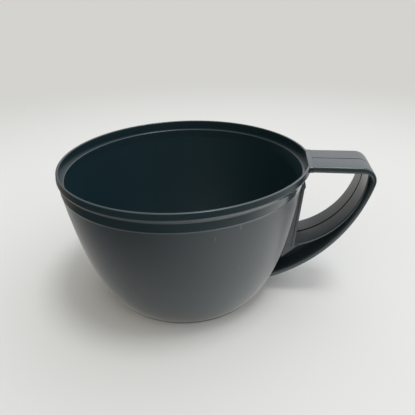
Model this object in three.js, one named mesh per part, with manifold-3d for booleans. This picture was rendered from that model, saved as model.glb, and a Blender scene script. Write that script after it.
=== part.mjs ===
// Plastic cup: a thin moulded bowl with a stepped rim, and a handle made of two halves that close on a rib.
// Millimetres, +Z up. The base stands on z = 0, the cup's axis is Z and the handle points along +X.
import * as THREE from 'three';
import { mergeVertices } from 'three/addons/utils/BufferGeometryUtils.js';
import Module from 'manifold-3d';

const wasm = await Module();
wasm.setup();

// Bowl
const height = 60;
const rimRadius = 50;
const lipThickness = 1.6;
const lipRound = 0.6;
const ledgeDepth = 3.4;
const ledgeRound = 0.7;
const upperBandHeight = 2.6;
const upperBandFlare = 0.3;
const bandStepHeight = 1.9;
const bandStepDepth = 0.8;
const lowerBandHeight = 2.9;
const lowerBandDraft = 0.1;
const wallThickness = 2.2;
const floorThickness = 2.2;
const baseRadius = 35.2;
const baseEdge = 1;
const baseFlareOut = 5.3;
const baseFlareUp = 6.5;
const topDraft = 3.3;
const topReach = 30.6;
const floorCorner = 3;

// Handle
const handleWidth = 19;
const barRise = 0.1;
const barThickness = 2.6;
const stubLength = 2.2;
const bendRadius = 6;
const bendInnerRadius = 3;
const armRadius = 64.7;
const armReach = 27.2;
const armFootHeight = 6.9;
const armThicknessTop = 1.9;
const armThicknessFoot = 2.5;
const gripRadius = 32.7;
const gripInset = 4.4;
const gripFootHeight = 25.1;
const gripThicknessTop = 0.5;
const gripThicknessFoot = 1.7;
const gripEdgeInset = 0.5;
const webThickness = 5;
const padTopGap = 3;
const padTopThickness = 0.5;
const padFrontThickness = 1.3;
const padCoreInset = 1.5;
const padNoseProud = 0.3;
const padNoseHeight = 2.2;
const gussetDrop = 5;
const gussetReach = 1.6;

// Joint between the handle and the bowl, and between the two halves
const seatClearance = 0.3;
const seamGap = 0.3;
const ribLift = 0.5;
const ribHeight = 8;
const ribNeckLength = 0.4;
const ribNeckWidth = 3;
const ribHeadThickness = 0.6;
const ribHeadWidth = 6;
const ribCover = 0.6;
const pegRadius = 1.2;
const pegLength = 1.4;
const pegFromWall = 2.6;
const pegPitch = 9.5;
const rootDepth = 5;

// Smoothness of the round forms
const turnSteps = 80;
const wallSteps = 12;
const roundSteps = 3;
const arcSteps = 24;
const pegSteps = 16;
const curveTolerance = 1e-6;
const mergeDistance = 1e-4;

// Sizes that follow from the ones above
const upperBandRadius = rimRadius + upperBandFlare;
const lowerBandRadius = upperBandRadius - bandStepDepth;
const wallTopRadius = lowerBandRadius - lowerBandDraft;
const upperBandBottom = height - upperBandHeight;
const lowerBandTop = upperBandBottom - bandStepHeight;
const bandBottom = lowerBandTop - lowerBandHeight;
const barTop = height + barRise;
const barUnder = barTop - barThickness;
const ribBottom = gripFootHeight + ribLift;
const ribTop = ribBottom + ribHeight;
const padTop = bandBottom - padTopGap;

const wallCurve = new THREE.CubicBezierCurve(
  new THREE.Vector2(baseRadius, baseEdge),
  new THREE.Vector2(baseRadius + baseFlareOut, baseEdge + baseFlareUp),
  new THREE.Vector2(wallTopRadius - topDraft, bandBottom - topReach),
  new THREE.Vector2(wallTopRadius, bandBottom),
);

// Point at a radius and an angle, in radians from the first axis, about a centre
function polar(centre, radius, angle) {
  return new THREE.Vector2(centre.x + radius * Math.cos(angle), centre.y + radius * Math.sin(angle));
}

// Points on an arc, both ends included
function arc(centre, radius, from, to, steps) {
  const points = [];
  for (let step = 0; step <= steps; step += 1) {
    points.push(polar(centre, radius, from + ((to - from) * step) / steps));
  }
  return points;
}

// Outer radius of the plain wall at a height, by halving the curve's parameter
function wallRadiusAt(z) {
  let low = 0;
  let high = 1;
  while (high - low > curveTolerance) {
    const middle = (low + high) / 2;
    if (wallCurve.getPoint(middle).y < z) low = middle;
    else high = middle;
  }
  return wallCurve.getPoint(low).x;
}

// Front of the pad at a height: a plane that covers the rib's head and leans out to the pad's top
function padFaceAt(z) {
  const overRib = wallRadiusAt(ribTop) + ribNeckLength + ribHeadThickness + seatClearance + ribCover;
  const overTop = wallRadiusAt(padTop) + seatClearance + padTopThickness;
  return overRib + ((overTop - overRib) * (z - ribTop)) / (padTop - ribTop);
}

// Centre of the circle of a given radius that bulges out and down from a top point to a foot point
function bulgeCentre(top, foot, radius) {
  const chord = top.clone().sub(foot);
  const middle = top.clone().add(foot).multiplyScalar(0.5);
  const inward = new THREE.Vector2(-chord.y, chord.x).normalize();
  return middle.addScaledVector(inward, Math.sqrt(radius ** 2 - chord.lengthSq() / 4));
}

const armCentre = bulgeCentre(
  new THREE.Vector2(rimRadius + armReach, barTop),
  new THREE.Vector2(wallRadiusAt(armFootHeight), armFootHeight),
  armRadius,
);
const gripCentre = bulgeCentre(
  new THREE.Vector2(rimRadius + armReach - gripInset, barUnder),
  new THREE.Vector2(padFaceAt(gripFootHeight), gripFootHeight),
  gripRadius,
);

// Closed solid from a geometry: shared corners are merged and collapsed triangles dropped
function solid(geometry) {
  geometry.deleteAttribute('normal');
  geometry.deleteAttribute('uv');
  const merged = mergeVertices(geometry, mergeDistance);
  const index = merged.index.array;
  const triangles = [];
  for (let i = 0; i < index.length; i += 3) {
    const [a, b, c] = [index[i], index[i + 1], index[i + 2]];
    if (a !== b && b !== c && c !== a) triangles.push(a, b, c);
  }
  return new wasm.Manifold(new wasm.Mesh({
    numProp: 3,
    vertProperties: Float32Array.from(merged.attributes.position.array),
    triVerts: Uint32Array.from(triangles),
  }));
}

// Solid of revolution about Z from (radius, height) points that run from the axis out and back to it
function turned(points) {
  const geometry = new THREE.LatheGeometry(points, turnSteps);
  geometry.rotateX(Math.PI / 2);
  return solid(geometry);
}

// Plate of a given width, centred on the handle's mid-plane, from an outline of (x, z) points
function plate(points, width) {
  const geometry = new THREE.ExtrudeGeometry(new THREE.Shape(points), { depth: width, bevelEnabled: false });
  geometry.translate(0, 0, -width / 2);
  geometry.rotateX(Math.PI / 2);
  return solid(geometry);
}

// Box given by its two opposite corners
function block(low, high) {
  const size = high.clone().sub(low);
  const geometry = new THREE.BoxGeometry(size.x, size.y, size.z);
  const centre = low.clone().add(high).multiplyScalar(0.5);
  geometry.translate(centre.x, centre.y, centre.z);
  return solid(geometry);
}

// Outside of the bowl from the base's centre to the top of the lip
function outerProfile() {
  const edgeCentre = new THREE.Vector2(baseRadius - baseEdge, baseEdge);
  const lipCentre = new THREE.Vector2(rimRadius - lipRound, height - lipRound);
  return [
    new THREE.Vector2(0, 0),
    ...arc(edgeCentre, baseEdge, -Math.PI / 2, 0, roundSteps),
    ...wallCurve.getPoints(wallSteps).slice(1),
    new THREE.Vector2(lowerBandRadius, lowerBandTop),
    new THREE.Vector2(upperBandRadius, upperBandBottom),
    ...arc(lipCentre, lipRound, 0, Math.PI / 2, roundSteps),
  ];
}

// Inside of the bowl from the floor's centre to the inner edge of the lip
function innerProfile() {
  const wall = [];
  for (let step = 0; step <= wallSteps; step += 1) {
    const along = step / wallSteps;
    const point = wallCurve.getPoint(along);
    const tangent = wallCurve.getTangent(along);
    wall.push(new THREE.Vector2(point.x - wallThickness * tangent.y, point.y + wallThickness * tangent.x));
  }
  const cornerTop = floorThickness + floorCorner;
  const clear = wall.filter((point) => point.y > cornerTop);
  const innerTop = clear[clear.length - 1].x;
  const ledge = height - ledgeDepth;
  const corner = new THREE.QuadraticBezierCurve(
    new THREE.Vector2(clear[0].x - 2 * floorCorner, floorThickness),
    new THREE.Vector2(clear[0].x - floorCorner / 2, floorThickness),
    clear[0],
  );
  const ledgeCentre = new THREE.Vector2(innerTop + ledgeRound, ledge - ledgeRound);
  const lipCentre = new THREE.Vector2(rimRadius - lipThickness + lipRound, height - lipRound);
  return [
    new THREE.Vector2(0, floorThickness),
    ...corner.getPoints(roundSteps),
    ...clear.slice(1),
    ...arc(ledgeCentre, ledgeRound, Math.PI, Math.PI / 2, roundSteps),
    new THREE.Vector2(rimRadius - lipThickness, ledge),
    ...arc(lipCentre, lipRound, Math.PI, Math.PI / 2, roundSteps),
  ];
}

// T-section rib on the wall, grown by a clearance where it is used to cut the pocket around it
function rib(clearance) {
  const neckEnd = wallRadiusAt(ribTop) + ribNeckLength;
  const headEnd = neckEnd + ribHeadThickness;
  const neck = block(
    new THREE.Vector3(baseRadius, -ribNeckWidth / 2 - clearance, ribBottom - clearance),
    new THREE.Vector3(headEnd, ribNeckWidth / 2 + clearance, ribTop + clearance),
  );
  const head = block(
    new THREE.Vector3(neckEnd - clearance, -ribHeadWidth / 2 - clearance, ribBottom - clearance),
    new THREE.Vector3(headEnd + clearance, ribHeadWidth / 2 + clearance, ribTop + clearance),
  );
  return neck.add(head);
}

// Short stub on the rim that the handle's bar butts against
function stub() {
  return block(
    new THREE.Vector3(rimRadius - lipThickness, -handleWidth / 2, barUnder),
    new THREE.Vector3(rimRadius + stubLength, handleWidth / 2, barTop),
  );
}

function bowl() {
  const outside = outerProfile();
  const inside = innerProfile();
  const open = new THREE.Vector2(inside[inside.length - 1].x, height + lipRound);
  const full = turned([...outside, new THREE.Vector2(0, height)]);
  const hollow = turned([...inside, open, new THREE.Vector2(0, open.y)]);
  return full.add(rib(0)).add(stub()).subtract(hollow);
}

// Space that the handle keeps clear of: the bowl's outside grown by the seat's clearance, and all above it
function bowlEnvelope() {
  const grown = outerProfile().map((point) => new THREE.Vector2(
    point.x > 0 ? point.x + seatClearance : 0,
    point.y,
  ));
  const mouth = rimRadius + seatClearance;
  const above = barTop + seatClearance;
  const wall = grown.filter((point) => point.y < height - lipRound);
  return turned([...wall, new THREE.Vector2(mouth, above), new THREE.Vector2(0, above)]);
}

// Centre of the round that runs from a level line into the arm's face, which lies at faceRadius
function filletCentre(level, radius, faceRadius) {
  const drop = level - radius - armCentre.y;
  return new THREE.Vector2(armCentre.x + Math.sqrt((faceRadius - radius) ** 2 - drop ** 2), level - radius);
}

function angleFromArm(point) {
  return Math.atan2(point.y - armCentre.y, point.x - armCentre.x);
}

const outerBend = filletCentre(barTop, bendRadius, armRadius);
const innerBend = filletCentre(barUnder, bendInnerRadius, armRadius - armThicknessTop);
const armTopAngle = angleFromArm(outerBend);
const armInnerTopAngle = angleFromArm(innerBend);
const armFootAngle = -Math.acos((wallRadiusAt(armFootHeight) - rootDepth - armCentre.x) / armRadius);

// The arm's face at a share of its thickness: 0 on the outside, 1 on the inside; it thickens to the foot
function armFace(share, fromAngle) {
  const points = [];
  for (let step = 0; step <= arcSteps; step += 1) {
    const along = step / arcSteps;
    const angle = fromAngle + (armFootAngle - fromAngle) * along;
    const thickness = armThicknessTop + (armThicknessFoot - armThicknessTop) * along;
    points.push(polar(armCentre, armRadius - share * thickness, angle));
  }
  return points;
}

// Bar, bend and arm in one bent strip
function outerStrip() {
  const root = rimRadius + stubLength + seatClearance;
  return plate([
    new THREE.Vector2(root, barUnder),
    ...arc(innerBend, bendInnerRadius, Math.PI / 2, armInnerTopAngle, roundSteps * 2),
    ...armFace(1, armInnerTopAngle).slice(1),
    ...armFace(0, armTopAngle).reverse(),
    ...arc(outerBend, bendRadius, armTopAngle, Math.PI / 2, roundSteps * 2).slice(1),
    new THREE.Vector2(root, barTop),
  ], handleWidth);
}

const gripFootAngle = -Math.acos((wallRadiusAt(gripFootHeight) - rootDepth - gripCentre.x) / gripRadius);
const gripTopAngle = Math.asin((barUnder + barThickness / 2 - gripCentre.y) / (gripRadius + gripThicknessTop));

// The grip's face at a share of its thickness: 0 towards the fingers, 1 towards the arm; it thins to the top
function gripFace(share) {
  const points = [];
  for (let step = 0; step <= arcSteps; step += 1) {
    const along = step / arcSteps;
    const angle = gripFootAngle + (gripTopAngle - gripFootAngle) * along;
    const thickness = gripThicknessFoot + (gripThicknessTop - gripThicknessFoot) * along;
    points.push(polar(gripCentre, gripRadius + share * thickness, angle));
  }
  return points;
}

function gripStrip() {
  return plate([...gripFace(1), ...gripFace(0).reverse()], handleWidth - 2 * gripEdgeInset);
}

// Web on the mid-plane that joins the grip strip to the arm
function web() {
  return plate([
    ...armFace(0.5, armInnerTopAngle),
    ...gripFace(0.5),
  ], webThickness);
}

// Underside of the grip strip at a distance from the cup's axis
function gripUnderAt(x) {
  return gripCentre.y - Math.sqrt((gripRadius + gripThicknessFoot) ** 2 - (x - gripCentre.x) ** 2);
}

function armInnerAt(x) {
  return armCentre.y - Math.sqrt((armRadius - armThicknessFoot) ** 2 - (x - armCentre.x) ** 2);
}

// Pad on the wall: a front plate with a nose at its top, a narrower core behind it and a gusset at its foot
function pad() {
  const footX = padFaceAt(ribBottom);
  const topX = padFaceAt(padTop);
  const noseX = topX + padNoseProud;
  const noseFoot = padTop - padNoseHeight;
  const foot = gripUnderAt(footX);
  const front = plate([
    new THREE.Vector2(footX - padFrontThickness, foot),
    new THREE.Vector2(footX, foot),
    new THREE.Vector2(padFaceAt(noseFoot), noseFoot),
    new THREE.Vector2(noseX, padTop - padNoseHeight / 2),
    new THREE.Vector2(noseX, padTop - padNoseHeight / 4),
    new THREE.Vector2(topX, padTop),
    new THREE.Vector2(topX - padFrontThickness, padTop),
  ], handleWidth);
  const core = plate([
    new THREE.Vector2(baseRadius, foot),
    new THREE.Vector2(footX - padFrontThickness / 2, foot),
    new THREE.Vector2(topX - padFrontThickness / 2, padTop),
    new THREE.Vector2(baseRadius, padTop),
  ], handleWidth - 2 * padCoreInset);
  const tip = footX + gussetReach;
  const gussetFoot = wallRadiusAt(foot - gussetDrop);
  const gusset = plate([
    new THREE.Vector2(baseRadius, foot - gussetDrop),
    new THREE.Vector2(gussetFoot, foot - gussetDrop),
    new THREE.Vector2(tip, gripUnderAt(tip) + gripThicknessFoot / 2),
    new THREE.Vector2(footX, foot + gripThicknessFoot / 2),
    new THREE.Vector2(baseRadius, foot + gripThicknessFoot / 2),
  ], handleWidth);
  return front.add(core).add(gusset);
}

// Row of round pins across the seam, in the wide end of the web
function pins(radius, from, to) {
  const first = wallRadiusAt(gripFootHeight) + pegFromWall;
  const row = [first, first + pegPitch].map((x) => {
    const geometry = new THREE.CylinderGeometry(radius, radius, to - from, pegSteps);
    geometry.translate(x, (from + to) / 2, (gripUnderAt(x) + armInnerAt(x)) / 2);
    return solid(geometry);
  });
  return row[0].add(row[1]);
}

function handleBlank() {
  const joined = outerStrip().add(gripStrip()).add(web()).add(pad());
  return joined.subtract(bowlEnvelope()).subtract(rib(seatClearance));
}

// Everything on one side of the handle's seam; side is -1 for the near side and +1 for the far side
function beyondSeam(side) {
  const from = (side * seamGap) / 2;
  const to = side * handleWidth;
  return block(
    new THREE.Vector3(0, Math.min(from, to), -height),
    new THREE.Vector3(rimRadius + 2 * armReach, Math.max(from, to), 2 * height),
  );
}

function handleNearHalf() {
  const half = handleBlank().intersect(beyondSeam(-1));
  return half.add(pins(pegRadius, -webThickness / 4, pegLength));
}

function handleFarHalf() {
  const half = handleBlank().intersect(beyondSeam(1));
  return half.subtract(pins(pegRadius + seatClearance, -pegLength, pegLength + seatClearance));
}

// Mesh of a finished solid in its own material
function named(name, shape, colour) {
  const { vertProperties, triVerts } = shape.getMesh();
  const geometry = new THREE.BufferGeometry();
  geometry.setAttribute('position', new THREE.BufferAttribute(vertProperties, 3));
  geometry.setIndex(new THREE.BufferAttribute(triVerts, 1));
  geometry.computeVertexNormals();
  const material = new THREE.MeshStandardMaterial({ color: colour, roughness: 0.35, metalness: 0 });
  const mesh = new THREE.Mesh(geometry, material);
  mesh.name = name;
  return mesh;
}

const charcoal = 0x2c3338;
const charcoalHandle = 0x30373b;

const cup = new THREE.Group();
cup.add(named('bowl', bowl(), charcoal));
cup.add(named('handle_near_half', handleNearHalf(), charcoalHandle));
cup.add(named('handle_far_half', handleFarHalf(), charcoalHandle));

export default cup;
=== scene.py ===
"""Looks of a charcoal plastic cup: a satin bowl with a smoother stepped rim, and a handle in two halves.

Sizes are written in millimetres in the part's own frame: the base stands on z = 0, the cup's axis is Z and
the handle points along +X. They are turned into metres where a mesh is made.
"""

import bpy
import numpy as np
from mathutils import Euler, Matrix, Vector


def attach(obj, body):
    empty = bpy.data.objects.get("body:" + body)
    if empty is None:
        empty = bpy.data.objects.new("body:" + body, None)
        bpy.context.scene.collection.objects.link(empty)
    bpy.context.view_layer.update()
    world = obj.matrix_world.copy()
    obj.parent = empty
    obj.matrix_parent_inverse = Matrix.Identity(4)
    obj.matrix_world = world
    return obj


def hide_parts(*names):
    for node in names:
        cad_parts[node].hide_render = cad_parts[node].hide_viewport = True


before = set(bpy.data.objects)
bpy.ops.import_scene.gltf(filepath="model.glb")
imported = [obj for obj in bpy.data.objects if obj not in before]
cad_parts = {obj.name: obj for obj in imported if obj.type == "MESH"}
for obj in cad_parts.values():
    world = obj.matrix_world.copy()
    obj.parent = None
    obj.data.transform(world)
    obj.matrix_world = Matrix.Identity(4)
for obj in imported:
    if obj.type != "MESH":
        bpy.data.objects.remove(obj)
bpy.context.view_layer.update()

MM = 0.001

# Bowl
HEIGHT = 60.0
RIM_RADIUS = 50.0
LIP_THICKNESS = 1.0
LIP_ROUND = 0.32
LEDGE_DEPTH = 4.1
LEDGE_ROUND = 0.4
UPPER_BAND_RADIUS = 50.3
UPPER_BAND_BOTTOM = 57.65
LOWER_BAND_TOP_RADIUS = 49.3
LOWER_BAND_TOP = 56.2
LOWER_BAND_FOOT_RADIUS = 49.6
LOWER_BAND_FOOT = 52.9
BAND_BOTTOM = 52.6
BAND_RELIEF = 0.25
BAND_ROUND = 0.35
WALL_TOP_RADIUS = 49.4
WALL_THICKNESS = 1.85
FLOOR_THICKNESS = 2.2
FLOOR_CORNER = 3.0
BASE_RADIUS = 35.2
BASE_EDGE = 1.0
FOOT_RING_INNER = 31.0
FOOT_RECESS = 0.4
FOOT_ROUND = 0.5
GATE_RADIUS = 1.6
GATE_DEPTH = 0.25
GATE_ROUND = 0.1
WALL_CURVE = np.array([
    (BASE_RADIUS, BASE_EDGE),
    (40.5, 7.5),
    (46.1, 22.0),
    (WALL_TOP_RADIUS, BAND_BOTTOM),
])
WALL_END_SHARE = 0.985
RIM_PULL = 2.2
PULL_POWER = 4
PULL_FOOT = 51.0
PULL_TOP = 58.0

# Handle. An arm's pair runs from the bend to the foot, and a grip's pair from the foot to the top.
HALF_WIDTH = 9.5
EDGE_ROUND = 0.8
BAR_TOP = 60.1
BAR_UNDER = 57.5
STUB_LENGTH = 2.6
STUB_FILLET = 0.4
STUB_ROOT = 49.5
BUTT_GAP = 0.06
BEND_RADIUS = 6.0
BEND_INNER_RADIUS = 3.0
ARM_RADIUS = 64.7
ARM_REACH = 27.15
ARM_FOOT_HEIGHT = 6.9
ARM_THICKNESS = (1.9, 2.5)
GRIP_RADIUS = 32.7
GRIP_INSET = 4.4
GRIP_RISE = 1.3
GRIP_FOOT_HEIGHT = 25.1
GRIP_THICKNESS = (1.7, 0.5)
GRIP_HALF_WIDTH = 9.0
GRIP_EDGE_ROUND = 0.5
GROOVE_SHARE = 0.6
GROOVE_SIDES = (-0.5, 0.5)
WEB_HALF = 2.5
WEB_DEPTH_SHARE = 0.5
PAD_TOP = 52.4
PAD_TOP_THICKNESS = 0.5
PAD_STANDOFF = 0.3
PAD_NOSE_PROUD = 0.3
PAD_NOSE_HEIGHT = 2.2
PAD_FRONT_THICKNESS = 1.3
PAD_HALF_WIDTH = 9.4
PAD_EDGE_ROUND = 0.4
PAD_CORE_HALF = 9.2
PAD_CORE_ROUND = 0.2
GUSSET_DROP = 5.0
GUSSET_REACH = 1.6
GUSSET_HALF = 9.3
SEAT_CLEARANCE = 0.12
ENVELOPE_RISE = 2.0
SEAM_GAP = 0.45
SEAM_CUT_WIDTH = 28.5
ROOT_DEPTH = 5.0

# Joint hidden under the pad
RIB_BOTTOM = 25.6
RIB_TOP = 33.6
RIB_NECK_LENGTH = 0.4
RIB_NECK_HALF = 1.5
RIB_HEAD_THICKNESS = 0.6
RIB_HEAD_HALF = 3.0
RIB_COVER = 0.9

# Fineness of the meshes
TURN_STEPS = 192
CURVE_SAMPLES = 2001
OUTER_WALL_POINTS = 56
INNER_WALL_POINTS = 60
FLOOR_CORNER_POINTS = 10
ROUND_STEPS = 6
CORNER_POINTS = 5
CORNER_LIMIT = 0.45
EDGE_POINTS = 6
EDGE_LIMIT = 0.48
BAR_POINTS = 16
BEND_STEPS = 18
ARM_STEPS = 72
GRIP_STEPS = 64
WEB_STEPS = 40
PAD_POINTS = 48
BOWL_CREASE = 40
HANDLE_CREASE = 35

# Corners of a strip's section: side of the mid-plane, back 0 or face 1, quarter turns before its round
SECTION_CORNERS = ((1, 1, 0), (-1, 1, 1), (-1, 0, 2), (1, 0, 3))

# Skin
BOWL_TONE = (0.01, 0.022, 0.029, 1)
SMOOTH_TONE = (0.008, 0.024, 0.032, 1)
HANDLE_TONE = (0.014, 0.027, 0.034, 1)
CLOUD_SCALE = 45
CLOUD_DETAIL = 4
CLOUD_SHADES = (0.9, 1.1)
SCUFF_TONE = (0.22, 0.23, 0.23, 1)
SCUFF_PLACE = (26, -44, 41)
SCUFF_REACH = 16
SCUFF_SCALE = 260
SCUFF_STRETCH = (1, 1, 0.35)
SCUFF_TURN = (0.4, 0.9, 0.3)
SCUFF_EDGE = (0.15, 0.06)
SMEAR_SCALE = 28
SMEAR_DETAIL = 5
SMEAR_DISTORTION = 0.6
NOISE_MIDDLE = 0.5
GRAIN_SCALE = 2600
GRAIN_DETAIL = 3
GRAIN_STRENGTH = 0.15
PLASTIC_IOR = 1.58
COAT_ROUGHNESS = 0.2
SHEEN_ROUGHNESS = 0.35

# Camera
CAMERA_PLACE = (33.61, -152.89, 119.57)
CAMERA_PITCH_DOWN = 28.48
CAMERA_YAW = 8.74
CAMERA_ROLL = 1.862
CAMERA_NEAR = 5.0
FOCAL_SHARE = 400.0 / 415.0
SENSOR = 36.0

# Light. A reach is the pair of dot products between which a tone comes in.
SKYLIGHT_PLACE = (339, -97, 1458)
SKYLIGHT_SIZE = 440
SKYLIGHT_POWER = 7.2
WINDOW = (1.35, 1.38, 1.41, 1)
WINDOW_AIM = (0.77, 0.41, 0.49)
WINDOW_REACH = (0, 0.9)
DIM = (0.34, 0.33, 0.3, 1)
FILL = (1.0, 0.95, 0.84, 1)
FILL_AIM = (0.45, -0.89, 0)
FILL_REACH = (-0.6, 0.7)
DARK = (0.03, 0.028, 0.025, 1)
BROWN = (0.15, 0.12, 0.09, 1)
PALE = (0.6, 0.59, 0.58, 1)
GROUND_AIM = (0.45, 0.89, 0)
BROWN_REACH = (-0.5, 0)
PALE_REACH = (-0.1, 0.9)
UP = (0, 0, 1)
LEVEL_REACH = (0.05, 0.5)
BACKDROP = (0.655, 0.65, 0.63, 1)

# Floor
FLOOR_TONE = (0.675, 0.68, 0.677, 1)
FLOOR_ROUGHNESS = 0.9
FLOOR_SPECULAR = 0.2
FLOOR_MIDDLE = 0.5
FLOOR_NEAR = 140.0
FLOOR_WIDE = 6000.0
FLOOR_RINGS = 12
FLOOR_STEPS = 96
# Painted reflection: the floor's colour for glossy rays runs from a painted shade far in front to a
# painted highlight towards the window
PAINTED_REFLECTION_SLOPE = (7.4, 6.4, 0)
PAINTED_REFLECTION_REACH = 1.03
PAINTED_SHADE_LOW = 0.04
PAINTED_GLEAM_HIGH = 1.58
FADE_START = 160.0
FADE_END = 480.0


def bezier(corners, shares):
    """Points of a cubic curve: the four corners weighted by the Bernstein polynomials of the share
    along it."""
    t = shares[:, None]
    weights = np.hstack([(1 - t) ** 3, 3 * t * (1 - t) ** 2, 3 * t**2 * (1 - t), t**3])
    return weights @ corners


def bezier_slope(corners, shares):
    """Unit direction of the cubic curve: its corner differences weighted by the quadratic Bernstein
    polynomials."""
    t = shares[:, None]
    steps = np.diff(corners, axis=0)
    slope = np.hstack([(1 - t) ** 2, 2 * t * (1 - t), t**2]) @ steps
    return slope / np.linalg.norm(slope, axis=1, keepdims=True)


def quadratic(start, corner, end, points):
    """Points of a quadratic curve: the start, the corner and the end weighted by the quadratic
    Bernstein polynomials of equal shares."""
    t = np.linspace(0, 1, points)[:, None]
    return (1 - t) ** 2 * start + 2 * t * (1 - t) * corner + t**2 * end


def wall_radius(z):
    """Outer radius of the plain wall at a height, read off the finely sampled wall curve."""
    fine = bezier(WALL_CURVE, np.linspace(0, 1, CURVE_SAMPLES))
    return np.interp(z, fine[:, 1], fine[:, 0])


def polar(centre, radius, angle):
    """Points at distances and at angles, in radians, from a centre."""
    return np.column_stack([centre[0] + radius * np.cos(angle), centre[1] + radius * np.sin(angle)])


def arc(centre, radius, start, end, steps):
    """Points at equal angles, in degrees, on a circle about a centre."""
    return polar(centre, radius, np.radians(np.linspace(start, end, steps + 1)))


def rounded(points, radii):
    """An open chain with its inner corners rounded: each corner becomes a quadratic curve between the
    points that lie one radius before and after it, or just under half way along the chain's side."""
    chain = np.asarray(points, float)
    out = [chain[:1]]
    for before, corner, after, radius in zip(chain[:-2], chain[1:-1], chain[2:], radii):
        into = before - corner
        onward = after - corner
        start = corner + into * min(radius / np.linalg.norm(into), CORNER_LIMIT)
        end = corner + onward * min(radius / np.linalg.norm(onward), CORNER_LIMIT)
        out.append(quadratic(start, corner, end, CORNER_POINTS))
    out.append(chain[-1:])
    return np.vstack(out)


def bulge_centre(top, foot, radius):
    """Centre of the circle through two points: their middle moved square to the chord by what
    Pythagoras leaves."""
    top = np.asarray(top, float)
    foot = np.asarray(foot, float)
    chord = top - foot
    length = np.linalg.norm(chord)
    inward = np.array([-chord[1], chord[0]]) / length
    return (top + foot) / 2 + inward * np.sqrt(radius**2 - length**2 / 4)


def new_object(name, points, faces):
    """A mesh object at the origin from points in millimetres."""
    mesh = bpy.data.meshes.new(name)
    mesh.from_pydata((np.asarray(points) * MM).tolist(), [], faces)
    mesh.validate()
    mesh.update()
    piece = bpy.data.objects.new(name, mesh)
    bpy.context.scene.collection.objects.link(piece)
    return piece


def grid_faces(rows, columns):
    """Quads of a grid whose columns close on themselves: each joins a point, its neighbour and the two
    above."""
    row = np.arange(rows - 1)[:, None]
    column = np.arange(columns)[None, :]
    beside = (column + 1) % columns
    quads = np.stack([
        row * columns + column,
        row * columns + beside,
        (row + 1) * columns + beside,
        (row + 1) * columns + column,
    ], axis=-1)
    return quads.reshape(-1, 4).tolist()


def pulled(places):
    """Bowl places moved along +X where the rim runs out to meet the bar: the move is the pull times a
    power of the cosine of the angle from the handle, times a smooth step of the height."""
    around = np.clip(places[:, 0], 0, None) / np.maximum(np.hypot(places[:, 0], places[:, 1]), MM)
    rise = np.clip((places[:, 2] - PULL_FOOT) / (PULL_TOP - PULL_FOOT), 0, 1)
    moved = places.copy()
    moved[:, 0] += RIM_PULL * around**PULL_POWER * rise**2 * (3 - 2 * rise)
    return moved


def lathe(name, profile):
    """Surface of revolution: each profile point (r, z) at every angle a gives (r cos a, r sin a, z),
    and the rim is then pulled towards the handle. The profile runs from the axis out and back to the
    axis, and both ends close in a single point."""
    angle = np.linspace(0, 2 * np.pi, TURN_STEPS, endpoint=False)
    ring = profile[1:-1]
    r = ring[:, 0][:, None]
    z = np.repeat(ring[:, 1][:, None], TURN_STEPS, axis=1)
    body = np.stack([r * np.cos(angle), r * np.sin(angle), z], axis=-1).reshape(-1, 3)
    first = len(body)
    poles = np.array([[0, 0, profile[0, 1]], [0, 0, profile[-1, 1]]])
    faces = grid_faces(len(ring), TURN_STEPS)
    around = np.arange(TURN_STEPS)
    beside = (around + 1) % TURN_STEPS
    top = (len(ring) - 1) * TURN_STEPS
    faces += np.column_stack([beside, around, np.full(TURN_STEPS, first)]).tolist()
    faces += np.column_stack([top + around, top + beside, np.full(TURN_STEPS, first + 1)]).tolist()
    return new_object(name, pulled(np.vstack([body, poles])), faces)


def ribbon(name, face, back, half_width, radius):
    """A strip with rounded edges carried along two matched chains of (x, z) points. Its section is a
    rectangle from the back chain to the face chain, half_width to either side of the mid-plane, and
    each corner of the section is a quarter circle of the given radius, or just under half the strip's
    thickness where that is less."""
    face = np.asarray(face, float)
    back = np.asarray(back, float)
    across = face - back
    thickness = np.linalg.norm(across, axis=1)
    outward = across / thickness[:, None]
    corner = np.minimum(radius, EDGE_LIMIT * thickness)[:, None]
    wide = np.broadcast_to(np.asarray(half_width, float), (len(face),))[:, None]
    turn = np.linspace(0, np.pi / 2, EDGE_POINTS)[None, :]
    sides = []
    depths = []
    for side, depth, quarters in SECTION_CORNERS:
        angle = turn + quarters * np.pi / 2
        sides.append(side * (wide - corner) + corner * np.cos(angle))
        depths.append(depth * thickness[:, None] + (1 - 2 * depth) * corner + corner * np.sin(angle))
    y = np.hstack(sides)
    d = np.hstack(depths)
    x = back[:, 0][:, None] + outward[:, 0][:, None] * d
    z = back[:, 1][:, None] + outward[:, 1][:, None] * d
    rows, columns = y.shape
    faces = grid_faces(rows, columns)
    faces.append(list(range(columns))[::-1])
    faces.append(list(range((rows - 1) * columns, rows * columns)))
    piece = new_object(name, np.stack([x, y, z], axis=-1).reshape(-1, 3), faces)
    return outward_faces(piece)


def prism(name, outline, low, high):
    """A plate with a constant outline of (x, z) points between two widths along Y."""
    outline = np.asarray(outline, float)
    count = len(outline)
    front = np.column_stack([outline[:, 0], np.full(count, low), outline[:, 1]])
    rear = np.column_stack([outline[:, 0], np.full(count, high), outline[:, 1]])
    here = np.arange(count)
    beside = (here + 1) % count
    faces = np.column_stack([here, beside, beside + count, here + count]).tolist()
    faces.append(list(range(count))[::-1])
    faces.append(list(range(count, 2 * count)))
    return outward_faces(new_object(name, np.vstack([front, rear]), faces))


def vectors(items, name):
    """One vector of each of a mesh's items, such as a point's place or a face's normal."""
    values = np.empty(len(items) * 3)
    items.foreach_get(name, values)
    return values.reshape(-1, 3)


def points_of(piece):
    """The mesh's points in millimetres."""
    return vectors(piece.data.vertices, "co") / MM


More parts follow.
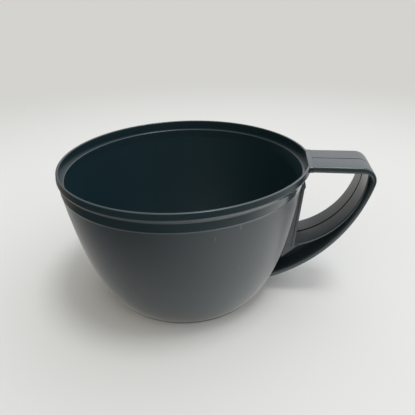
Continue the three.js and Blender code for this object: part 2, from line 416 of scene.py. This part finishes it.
def outward_faces(piece):
    """Turns the faces of a closed shell outwards: all are flipped where the shell's signed volume is
    below zero."""
    mesh = piece.data
    mesh.calc_loop_triangles()
    corners = np.empty(len(mesh.loop_triangles) * 3, np.int32)
    mesh.loop_triangles.foreach_get("vertices", corners)
    a, b, c = points_of(piece)[corners.reshape(-1, 3)].transpose(1, 0, 2)
    if np.einsum("ij,ij->", a, np.cross(b, c)) < 0:
        mesh.flip_normals()
    return piece


def combined(piece, others, operation):
    """A closed shell joined with, or cut by, other closed shells, which are used up."""
    for other in others:
        step = piece.modifiers.new(operation, "BOOLEAN")
        step.operation = operation
        step.solver = "MANIFOLD"
        step.object = other
    bpy.context.view_layer.update()
    shaped = piece.evaluated_get(bpy.context.evaluated_depsgraph_get())
    mesh = bpy.data.meshes.new_from_object(shaped)
    piece.modifiers.clear()
    piece.data = mesh
    for other in others:
        bpy.data.objects.remove(other)
    return piece


def copied(piece, name):
    """A second object with its own mesh."""
    twin = piece.copy()
    twin.data = piece.data.copy()
    twin.name = name
    bpy.context.scene.collection.objects.link(twin)
    return twin


def joined(piece, others):
    """One object that holds several closed shells."""
    with bpy.context.temp_override(active_object=piece, selected_editable_objects=[piece, *others]):
        bpy.ops.object.join()
    return piece


def softened(piece, degrees):
    """Smooth shading, with the edges that turn by more than the given angle kept sharp."""
    piece.data.shade_smooth()
    piece.data.set_sharp_from_angle(angle=np.radians(degrees))
    return piece


def outer_profile():
    """Outside of the bowl from the base's centre to the top of the lip: a foot ring round a shallow
    recess, the wall's cubic curve, the lower band, the slanted step, the upper band and the rounded
    lip."""
    foot = rounded([
        (0, GATE_DEPTH + FOOT_RECESS),
        (GATE_RADIUS, GATE_DEPTH + FOOT_RECESS),
        (GATE_RADIUS + GATE_DEPTH, FOOT_RECESS),
        (FOOT_RING_INNER - 2 * FOOT_RECESS, FOOT_RECESS),
        (FOOT_RING_INNER, 0),
        (BASE_RADIUS - BASE_EDGE, 0),
    ], [GATE_ROUND, GATE_ROUND, FOOT_ROUND, FOOT_ROUND])
    edge = arc((BASE_RADIUS - BASE_EDGE, BASE_EDGE), BASE_EDGE, -90, 0, ROUND_STEPS)
    wall = bezier(WALL_CURVE, np.linspace(0, WALL_END_SHARE, OUTER_WALL_POINTS))
    relief = BAND_BOTTOM - BAND_RELIEF
    rim = rounded([
        wall[-1],
        (wall_radius(relief), relief),
        (LOWER_BAND_FOOT_RADIUS, LOWER_BAND_FOOT),
        (LOWER_BAND_TOP_RADIUS, LOWER_BAND_TOP),
        (UPPER_BAND_RADIUS, UPPER_BAND_BOTTOM),
        (RIM_RADIUS, HEIGHT - LIP_ROUND),
    ], [BAND_ROUND, BAND_ROUND / 2, BAND_ROUND, BAND_ROUND])
    lip = arc((RIM_RADIUS - LIP_ROUND, HEIGHT - LIP_ROUND), LIP_ROUND, 0, 90, ROUND_STEPS)
    return np.vstack([foot, edge[1:], wall[1:], rim[1:], lip[1:]])


def inner_profile():
    """Inside of the bowl from the floor's centre to the lip: the wall's curve moved in by the wall's
    thickness along its normal, a rounded corner at the floor, and a ledge under the lip."""
    shares = np.linspace(0, 1, INNER_WALL_POINTS)
    slope = bezier_slope(WALL_CURVE, shares)
    normal = np.column_stack([slope[:, 1], -slope[:, 0]])
    wall = bezier(WALL_CURVE, shares) - WALL_THICKNESS * normal
    wall = wall[wall[:, 1] > FLOOR_THICKNESS + FLOOR_CORNER]
    start = wall[0]
    level = np.array([start[0] - 2 * FLOOR_CORNER, FLOOR_THICKNESS])
    pull = np.array([start[0] - FLOOR_CORNER / 2, FLOOR_THICKNESS])
    corner = quadratic(level, pull, start, FLOOR_CORNER_POINTS)
    ledge = HEIGHT - LEDGE_DEPTH
    inner_top = wall[-1, 0]
    lip_inner = RIM_RADIUS - LIP_THICKNESS
    shelf = arc((inner_top + LEDGE_ROUND, ledge - LEDGE_ROUND), LEDGE_ROUND, 180, 90, ROUND_STEPS)
    lip = arc((lip_inner + LIP_ROUND, HEIGHT - LIP_ROUND), LIP_ROUND, 180, 90, ROUND_STEPS)
    return np.vstack([[(0, FLOOR_THICKNESS)], corner, wall[1:], shelf, [(lip_inner, ledge)], lip])


def stub():
    """Short stub on the rim that the bar butts against: the bar's own section, with its width growing
    towards the rim along a quarter circle on either side. Each row of the grid lies a share of the way
    from the rim's circle to the stub's flat end."""
    share = np.linspace(0, 1, BAR_POINTS)
    end = RIM_RADIUS + STUB_LENGTH
    middle = STUB_ROOT + share * (end - STUB_ROOT)
    run = np.clip(UPPER_BAND_RADIUS + RIM_PULL + STUB_FILLET - middle, 0, STUB_FILLET)
    width = HALF_WIDTH + STUB_FILLET - np.sqrt(STUB_FILLET**2 - run**2)
    face = np.column_stack([middle, np.full_like(middle, BAR_TOP)])
    back = np.column_stack([middle, np.full_like(middle, BAR_UNDER)])
    piece = ribbon("stub", face, back, width, EDGE_ROUND)
    places = points_of(piece)
    along = (places[:, 0] - STUB_ROOT) / (end - STUB_ROOT)
    rim = places.copy()
    rim[:, 0] = np.sqrt(STUB_ROOT**2 - places[:, 1] ** 2)
    root = pulled(rim)[:, 0]
    places[:, 0] = root + along * (end - root)
    piece.data.vertices.foreach_set("co", (places * MM).ravel())
    return piece


def rib(name, clearance):
    """T-section rib on the wall under the pad, as a neck plate and a head plate, grown by a
    clearance."""
    neck_end = wall_radius(RIB_TOP) + RIB_NECK_LENGTH
    head_end = neck_end + RIB_HEAD_THICKNESS
    low = RIB_BOTTOM - clearance
    high = RIB_TOP + clearance
    sunk = WALL_THICKNESS / 2
    neck = [
        (wall_radius(low) - sunk, low),
        (head_end, low),
        (head_end, high),
        (wall_radius(high) - sunk, high),
    ]
    back = neck_end - clearance
    front = head_end + clearance
    head = [(back, low), (front, low), (front, high), (back, high)]
    return [
        prism(name + "_neck", neck, -RIB_NECK_HALF - clearance, RIB_NECK_HALF + clearance),
        prism(name + "_head", head, -RIB_HEAD_HALF - clearance, RIB_HEAD_HALF + clearance),
    ]


def make_bowl():
    """The wall turned as one closed profile, outside and then inside, with the stub and the rib set
    into it."""
    profile = np.vstack([outer_profile(), inner_profile()[::-1]])
    piece = outward_faces(lathe("cup_bowl", profile))
    bar_stub = stub()
    neck, head = rib("rib", 0)
    return joined(piece, [bar_stub, combined(neck, [head], "UNION")])


def smooth_faces(piece):
    """Second finish for the rim and for the faces that look into the bowl. The rim is all that lies
    above the foot of the lower band. A face that looks in leans inwards or up, above the middle of the
    floor, within the wall's outer face."""
    sides = piece.data.polygons
    normals = vectors(sides, "normal")
    x, y, z = vectors(sides, "center").T / MM
    reach = np.hypot(x, y)
    lean = (x * normals[:, 0] + y * normals[:, 1]) / reach
    within = (z > FLOOR_THICKNESS / 2) & (reach < wall_radius(z))
    looks_in = (lean < 0) | (normals[:, 2] > abs(lean))
    rim = z > BAND_BOTTOM
    sides.foreach_set("material_index", (rim | (within & looks_in)).astype(int))


def pad_face(z):
    """Front of the pad at a height: a straight lean from over the rib to the pad's top."""
    over_rib = wall_radius(RIB_TOP) + RIB_NECK_LENGTH + RIB_HEAD_THICKNESS + RIB_COVER
    over_top = wall_radius(PAD_TOP) + PAD_STANDOFF + PAD_TOP_THICKNESS
    return over_rib + (over_top - over_rib) * (z - RIB_TOP) / (PAD_TOP - RIB_TOP)


ARM_CENTRE = bulge_centre(
    (RIM_RADIUS + ARM_REACH, BAR_TOP),
    (wall_radius(ARM_FOOT_HEIGHT), ARM_FOOT_HEIGHT),
    ARM_RADIUS,
)
GRIP_CENTRE = bulge_centre(
    (RIM_RADIUS + ARM_REACH - GRIP_INSET, BAR_UNDER),
    (pad_face(GRIP_FOOT_HEIGHT), GRIP_FOOT_HEIGHT),
    GRIP_RADIUS,
)


def bend(level, radius, face_radius):
    """Centre of the round that runs from a level line into the arm's face, and the angle at which it
    meets it."""
    drop = level - radius - ARM_CENTRE[1]
    centre = np.array([ARM_CENTRE[0] + np.sqrt((face_radius - radius) ** 2 - drop**2), level - radius])
    away = centre - ARM_CENTRE
    return centre, np.degrees(np.arctan2(away[1], away[0]))


def arm_face(share, start, steps):
    """The arm's face at a share of its thickness: an arc whose radius shrinks by the share of the
    thickness, which changes evenly with the angle."""
    root = wall_radius(ARM_FOOT_HEIGHT) - ROOT_DEPTH
    end = -np.degrees(np.arccos((root - ARM_CENTRE[0]) / ARM_RADIUS))
    along = np.linspace(0, 1, steps + 1)
    angle = np.radians(start + (end - start) * along)
    thickness = ARM_THICKNESS[0] + (ARM_THICKNESS[1] - ARM_THICKNESS[0]) * along
    return polar(ARM_CENTRE, ARM_RADIUS - share * thickness, angle)


def grip_face(share, steps):
    """The grip's face at a share of its thickness: an arc whose radius grows by the share of the
    thickness, which thins evenly from the foot to the top."""
    root = wall_radius(GRIP_FOOT_HEIGHT) - ROOT_DEPTH
    foot = -np.arccos((root - GRIP_CENTRE[0]) / GRIP_RADIUS)
    top = np.arcsin((BAR_UNDER + GRIP_RISE - GRIP_CENTRE[1]) / (GRIP_RADIUS + GRIP_THICKNESS[1]))
    along = np.linspace(0, 1, steps + 1)
    angle = foot + (top - foot) * along
    thickness = GRIP_THICKNESS[0] + (GRIP_THICKNESS[1] - GRIP_THICKNESS[0]) * along
    return polar(GRIP_CENTRE, GRIP_RADIUS + share * thickness, angle)


def grip_under(x):
    """Height of the grip strip's underside at a distance from the cup's axis, near its foot: the lower
    half of a circle."""
    return GRIP_CENTRE[1] - np.sqrt((GRIP_RADIUS + GRIP_THICKNESS[0]) ** 2 - (x - GRIP_CENTRE[0]) ** 2)


def strip_face(level, radius, share):
    """One face of the outer strip, and the angle at which its round meets its arc: a level line in
    equal steps, a round, and the arm's face at a share of the arm's thickness."""
    root = RIM_RADIUS + STUB_LENGTH + BUTT_GAP
    centre, angle = bend(level, radius, ARM_RADIUS - share * ARM_THICKNESS[0])
    along = np.linspace(0, 1, BAR_POINTS)[:, None]
    line = (1 - along) * np.array([root, level]) + along * np.array([centre[0], level])
    turn = arc(centre, radius, 90, angle, BEND_STEPS)
    return np.vstack([line, turn[1:], arm_face(share, angle, ARM_STEPS)[1:]]), angle


def pad():
    """Pad on the wall: a leaning front ribbon with a nose at its top, which follows a bell curve of the
    height, a narrower core behind it, and a gusset at its foot that runs down to the wall."""
    foot_x = pad_face(RIB_BOTTOM)
    foot = grip_under(foot_x)
    z = np.linspace(foot, PAD_TOP, PAD_POINTS)
    nose_centre = PAD_TOP - PAD_NOSE_HEIGHT / 2
    nose = PAD_NOSE_PROUD * np.exp(-((z - nose_centre) / (PAD_NOSE_HEIGHT / 3)) ** 2)
    face = np.column_stack([pad_face(z) + nose, z])
    back = np.column_stack([pad_face(z) - PAD_FRONT_THICKNESS, z])
    front = ribbon("pad_front", face, back, PAD_HALF_WIDTH, PAD_EDGE_ROUND)
    core_face = np.column_stack([pad_face(z) - PAD_FRONT_THICKNESS / 2, z])
    core_back = np.column_stack([np.full_like(z, BASE_RADIUS), z])
    core = ribbon("pad_core", core_face, core_back, PAD_CORE_HALF, PAD_CORE_ROUND)
    tip = foot_x + GUSSET_REACH
    low = foot - GUSSET_DROP
    half_grip = GRIP_THICKNESS[0] / 2
    gusset = prism("gusset", [
        (BASE_RADIUS, low),
        (wall_radius(low), low),
        (tip, grip_under(tip) + half_grip),
        (foot_x, foot + half_grip),
        (BASE_RADIUS, foot + half_grip),
    ], -GUSSET_HALF, GUSSET_HALF)
    return [front, core, gusset]


def bowl_envelope():
    """The bowl's outside, grown by the seat's clearance and closed above the rim."""
    grown = outer_profile()
    grown[:, 0] = np.where(grown[:, 0] > 0, grown[:, 0] + SEAT_CLEARANCE, 0)
    below_lip = grown[grown[:, 1] < HEIGHT - LIP_ROUND]
    lid = HEIGHT + ENVELOPE_RISE
    return outward_faces(lathe("envelope", np.vstack([below_lip, [(RIM_RADIUS, lid), (0, lid)]])))


def make_handle():
    """The whole handle as one shell, cut to the bowl and the rib, and parted on its mid-plane into two
    halves."""
    face, _ = strip_face(BAR_TOP, BEND_RADIUS, 0)
    back, inner_angle = strip_face(BAR_UNDER, BEND_INNER_RADIUS, 1)
    strip = ribbon("outer_strip", face, back, HALF_WIDTH, EDGE_ROUND)
    grip_sides = (grip_face(0, GRIP_STEPS), grip_face(1, GRIP_STEPS))
    grip = ribbon("grip_strip", *grip_sides, GRIP_HALF_WIDTH, GRIP_EDGE_ROUND)
    web_arm = arm_face(WEB_DEPTH_SHARE, inner_angle, WEB_STEPS)
    web_grip = grip_face(WEB_DEPTH_SHARE, WEB_STEPS)
    web = prism("web", np.vstack([web_arm, web_grip]), -WEB_HALF, WEB_HALF)
    blank = combined(strip, [grip, web, *pad()], "UNION")
    over = grip_face(-GROOVE_SHARE, GRIP_STEPS)
    under = grip_face(GROOVE_SHARE, GRIP_STEPS)
    groove = prism("groove", np.vstack([over, under[::-1]]), *GROOVE_SIDES)
    blank = combined(blank, [groove], "DIFFERENCE")
    blank = combined(blank, [bowl_envelope(), *rib("pocket", SEAT_CLEARANCE)], "DIFFERENCE")
    reach = RIM_RADIUS + 2 * ARM_REACH
    square = [(0, -HEIGHT), (reach, -HEIGHT), (reach, 2 * HEIGHT), (0, 2 * HEIGHT)]
    halves = []
    for name, side in (("cup_handle_near", -1), ("cup_handle_far", 1)):
        low, high = sorted((side * SEAM_GAP / 2, side * SEAM_CUT_WIDTH))
        half = copied(blank, name)
        halves.append(combined(half, [prism("beyond_seam", square, low, high)], "INTERSECT"))
    bpy.data.objects.remove(blank)
    return halves


def feed(tree, made, inputs):
    """Fills a node's inputs, each with a plain value or with another node's output."""
    for key, value in inputs.items():
        if isinstance(value, bpy.types.NodeSocket):
            tree.links.new(value, made.inputs[key])
        else:
            made.inputs[key].default_value = value
    return made


def node(tree, kind, inputs, **settings):
    """A shader node with some of its own settings, and its inputs filled."""
    made = tree.nodes.new(kind)
    for key, value in settings.items():
        setattr(made, key, value)
    return feed(tree, made, inputs)


def product(tree, first, second):
    """Product of two values."""
    return node(tree, "ShaderNodeMath", {0: first, 1: second}, operation="MULTIPLY").outputs["Value"]


def eased(tree, value, start, end):
    """Share that rises from 0 to 1 by a smooth step as a value goes from a start to an end."""
    share = node(tree, "ShaderNodeMapRange", {
        "Value": value,
        "From Min": start,
        "From Max": end,
    }, interpolation_type="SMOOTHSTEP")
    return share.outputs["Result"]


def blended(tree, share, under, over, blend="MIX"):
    """Two tones mixed by a share. Each is a colour or a node's output."""
    mix = node(tree, "ShaderNodeMix", {}, data_type="RGBA", blend_type=blend)
    feed(tree, mix, {"Factor": share, "A": under, "B": over})
    return mix.outputs["Result"]


def moulded_skin_group():
    """Shader group of a moulded plastic skin: cloudy colour, fine grain for the bump, smudges for the
    roughness and sparse pale scuffs round one place."""
    group = bpy.data.node_groups.new("moulded_skin", "ShaderNodeTree")
    for name, side, kind in (
        ("Colour", "INPUT", "NodeSocketColor"),
        ("Roughness", "INPUT", "NodeSocketFloat"),
        ("Smudge", "INPUT", "NodeSocketFloat"),
        ("Scuff", "INPUT", "NodeSocketFloat"),
        ("Colour", "OUTPUT", "NodeSocketColor"),
        ("Roughness", "OUTPUT", "NodeSocketFloat"),
        ("Height", "OUTPUT", "NodeSocketFloat"),
    ):
        group.interface.new_socket(name, in_out=side, socket_type=kind)
    given = node(group, "NodeGroupInput", {}).outputs
    place = node(group, "ShaderNodeTexCoord", {}).outputs["Object"]

    cloud = node(group, "ShaderNodeTexNoise", {
        "Vector": place,
        "Scale": CLOUD_SCALE,
        "Detail": CLOUD_DETAIL,
    })
    shade = node(group, "ShaderNodeMapRange", {
        "Value": cloud.outputs["Fac"],
        "To Min": CLOUD_SHADES[0],
        "To Max": CLOUD_SHADES[1],
    })
    tone = blended(group, 1, given["Colour"], shade.outputs["Result"], "MULTIPLY")

    turned = node(group, "ShaderNodeMapping", {
        "Vector": place,
        "Rotation": SCUFF_TURN,
        "Scale": SCUFF_STRETCH,
    })
    scratch = node(group, "ShaderNodeTexVoronoi", {
        "Vector": turned.outputs["Vector"],
        "Scale": SCUFF_SCALE,
    })
    fleck = node(group, "ShaderNodeMapRange", {
        "Value": scratch.outputs["Distance"],
        "From Min": SCUFF_EDGE[0],
        "From Max": SCUFF_EDGE[1],
    })
    away = node(group, "ShaderNodeVectorMath", {
        0: place,
        1: Vector(SCUFF_PLACE) * MM,
    }, operation="DISTANCE")
    near = eased(group, away.outputs["Value"], SCUFF_REACH * MM, SCUFF_REACH * MM / 2)
    strength = product(group, product(group, fleck.outputs["Result"], near), given["Scuff"])
    worn = blended(group, strength, tone, SCUFF_TONE)

    smear = node(group, "ShaderNodeTexNoise", {
        "Vector": place,
        "Scale": SMEAR_SCALE,
        "Detail": SMEAR_DETAIL,
        "Distortion": SMEAR_DISTORTION,
    })
    swing = node(group, "ShaderNodeMath", {
        0: smear.outputs["Fac"],
        1: NOISE_MIDDLE,
    }, operation="SUBTRACT")
    gloss = node(group, "ShaderNodeMath", {
        0: given["Roughness"],
        1: product(group, swing.outputs["Value"], given["Smudge"]),
    }, operation="ADD")

    grain = node(group, "ShaderNodeTexNoise", {
        "Vector": place,
        "Scale": GRAIN_SCALE,
        "Detail": GRAIN_DETAIL,
    })
    node(group, "NodeGroupOutput", {
        "Colour": worn,
        "Roughness": gloss.outputs["Value"],
        "Height": grain.outputs["Fac"],
    })
    return group


SKIN = moulded_skin_group()


def plastic(name, colour, roughness, smudge, scuff, grain, coat, sheen):
    """A moulded plastic: the shared skin feeds colour, roughness and a fine bump. A fine-textured face
    scatters light that grazes it, which the sheen gives."""
    made = bpy.data.materials.new(name)
    made.use_nodes = True
    tree = made.node_tree
    skin = node(tree, "ShaderNodeGroup", {}, node_tree=SKIN)
    feed(tree, skin, {"Colour": colour, "Roughness": roughness, "Smudge": smudge, "Scuff": scuff})
    bump = node(tree, "ShaderNodeBump", {
        "Height": skin.outputs["Height"],
        "Strength": GRAIN_STRENGTH,
        "Distance": grain * MM,
    })
    feed(tree, tree.nodes["Principled BSDF"], {
        "Base Color": skin.outputs["Colour"],
        "Roughness": skin.outputs["Roughness"],
        "Normal": bump.outputs["Normal"],
        "IOR": PLASTIC_IOR,
        "Coat Weight": coat,
        "Coat Roughness": COAT_ROUGHNESS,
        "Sheen Weight": sheen,
        "Sheen Roughness": SHEEN_ROUGHNESS,
    })
    return made


def paper(name, colour, glow):
    """Pale floor. Glossy rays see its colour scaled by a painted reflection: a painted shade far in front
    of the cup and a painted highlight towards the window. The camera sees it turn into an even pale tone
    far from the cup."""
    made = bpy.data.materials.new(name)
    made.use_nodes = True
    tree = made.node_tree
    place = node(tree, "ShaderNodeTexCoord", {}).outputs["Object"]
    path = node(tree, "ShaderNodeLightPath", {}).outputs
    towards = node(tree, "ShaderNodeVectorMath", {0: place, 1: PAINTED_REFLECTION_SLOPE}, operation="DOT_PRODUCT")
    # Painted reflection: a colour scale for glossy rays, a painted shade in front and a painted highlight
    # towards the window
    painted_reflection = node(tree, "ShaderNodeMapRange", {
        "Value": towards.outputs["Value"],
        "From Min": -PAINTED_REFLECTION_REACH,
        "From Max": 0,
        "To Min": PAINTED_SHADE_LOW,
        "To Max": PAINTED_GLEAM_HIGH,
    })
    shader = feed(tree, tree.nodes["Principled BSDF"], {
        "Base Color": blended(tree, path["Is Glossy Ray"], colour, painted_reflection.outputs["Result"], "MULTIPLY"),
        "Roughness": FLOOR_ROUGHNESS,
        "Specular IOR Level": FLOOR_SPECULAR,
    })
    even = node(tree, "ShaderNodeEmission", {"Color": glow})
    away = node(tree, "ShaderNodeVectorMath", {0: place}, operation="LENGTH")
    fade = eased(tree, away.outputs["Value"], FADE_START * MM, FADE_END * MM)
    mix = node(tree, "ShaderNodeMixShader", {
        "Fac": product(tree, fade, path["Is Camera Ray"]),
        1: shader.outputs["BSDF"],
        2: even.outputs["Emission"],
    })
    feed(tree, tree.nodes["Material Output"], {"Surface": mix.outputs["Shader"]})
    return made


def floor_ring(name, inner, outer):
    """A flat ring on the floor: radii in equal ratios and equal angles on a grid, all at height zero.
    The ring that starts at the middle is closed there."""
    angle = np.linspace(0, 2 * np.pi, FLOOR_STEPS, endpoint=False)
    r = np.geomspace(inner, outer, FLOOR_RINGS)[:, None]
    x = r * np.cos(angle)
    y = r * np.sin(angle)
    faces = grid_faces(FLOOR_RINGS, FLOOR_STEPS)
    if inner == FLOOR_MIDDLE:
        faces.append(list(range(FLOOR_STEPS)))
    return new_object(name, np.stack([x, y, np.zeros_like(x)], axis=-1).reshape(-1, 3), faces)


def skylight():
    """A soft round lamp that faces the middle of the base."""
    data = bpy.data.lights.new("skylight", "AREA")
    data.shape = "DISK"
    data.size = SKYLIGHT_SIZE * MM
    data.energy = SKYLIGHT_POWER
    lamp = bpy.data.objects.new("skylight", data)
    bpy.context.scene.collection.objects.link(lamp)
    place = Vector(SKYLIGHT_PLACE)
    lamp.location = place * MM
    lamp.rotation_euler = (-place).to_track_quat("-Z", "Y").to_euler()


def lobe(tree, where, aim, reach):
    """Share that rises smoothly from 0 to 1 as a direction turns to an aim, between two values of their
    dot product."""
    facing = node(tree, "ShaderNodeVectorMath", {0: where, 1: aim}, operation="DOT_PRODUCT")
    return eased(tree, facing.outputs["Value"], *reach)


def room():
    """World light. Above the level line a dim tone turns into a fill towards the front and into a
    bright window at the right. Below it the tone runs from dark at the front, through brown, to pale at
    the back. The camera sees a plain backdrop."""
    world = bpy.data.worlds.new("room")
    bpy.context.scene.world = world
    world.use_nodes = True
    tree = world.node_tree
    where = node(tree, "ShaderNodeTexCoord", {}).outputs["Generated"]
    low = blended(tree, lobe(tree, where, GROUND_AIM, BROWN_REACH), DARK, BROWN)
    low = blended(tree, lobe(tree, where, GROUND_AIM, PALE_REACH), low, PALE)
    high = blended(tree, lobe(tree, where, FILL_AIM, FILL_REACH), DIM, FILL)
    high = blended(tree, lobe(tree, where, WINDOW_AIM, WINDOW_REACH), high, WINDOW)
    tone = blended(tree, lobe(tree, where, UP, LEVEL_REACH), low, high)
    path = node(tree, "ShaderNodeLightPath", {}).outputs
    seen = blended(tree, path["Is Camera Ray"], tone, BACKDROP)
    feed(tree, tree.nodes["Background"], {"Color": seen})


def camera():
    """Camera at the photograph's place, turned by its pitch, roll and yaw."""
    data = bpy.data.cameras.new("view")
    data.sensor_width = SENSOR
    data.lens = FOCAL_SHARE * SENSOR
    data.clip_start = CAMERA_NEAR * MM
    seen = bpy.data.objects.new("view", data)
    bpy.context.scene.collection.objects.link(seen)
    seen.location = np.array(CAMERA_PLACE) * MM
    level = Euler((np.radians(90 - CAMERA_PITCH_DOWN), 0, np.radians(CAMERA_YAW)), "XYZ").to_matrix()
    roll = Euler((0, 0, np.radians(-CAMERA_ROLL)), "XYZ").to_matrix()
    seen.rotation_euler = (level @ roll).to_euler("XYZ")
    bpy.context.scene.camera = seen


camera()

bowl_plastic = plastic(
    "bowl_plastic", BOWL_TONE, roughness=0.45, smudge=0.06, scuff=0.22, grain=0.03, coat=0.15, sheen=0.55
)
bowl_smooth = plastic(
    "bowl_smooth", SMOOTH_TONE, roughness=0.3, smudge=0.06, scuff=0, grain=0.03, coat=0.45, sheen=0
)
handle_plastic = plastic(
    "handle_plastic", HANDLE_TONE, roughness=0.36, smudge=0.08, scuff=0, grain=0.05, coat=0.3, sheen=0.25
)

bowl = softened(make_bowl(), BOWL_CREASE)
near_half, far_half = make_handle()
pieces = [
    (bowl, "bowl", "bowl_plastic", (bowl_plastic, bowl_smooth)),
    (softened(near_half, HANDLE_CREASE), "handle_near_half", "handle_plastic", (handle_plastic,)),
    (softened(far_half, HANDLE_CREASE), "handle_far_half", "handle_plastic", (handle_plastic,)),
]
for piece, stands_for, slot, finishes in pieces:
    piece.data.materials.clear()
    for finish in finishes:
        piece.data.materials.append(finish)
    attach(piece, "root")
    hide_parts(stands_for)
smooth_faces(bowl)

pale = paper("pale_floor", FLOOR_TONE, BACKDROP)
near_floor = floor_ring("near_floor", FLOOR_MIDDLE, FLOOR_NEAR)
wide_floor = floor_ring("wide_floor", FLOOR_NEAR, FLOOR_WIDE)
for ring in (near_floor, wide_floor):
    ring.data.materials.append(pale)
wide_floor.visible_glossy = False

skylight()
room()

bpy.context.scene.view_settings.view_transform = "Standard"
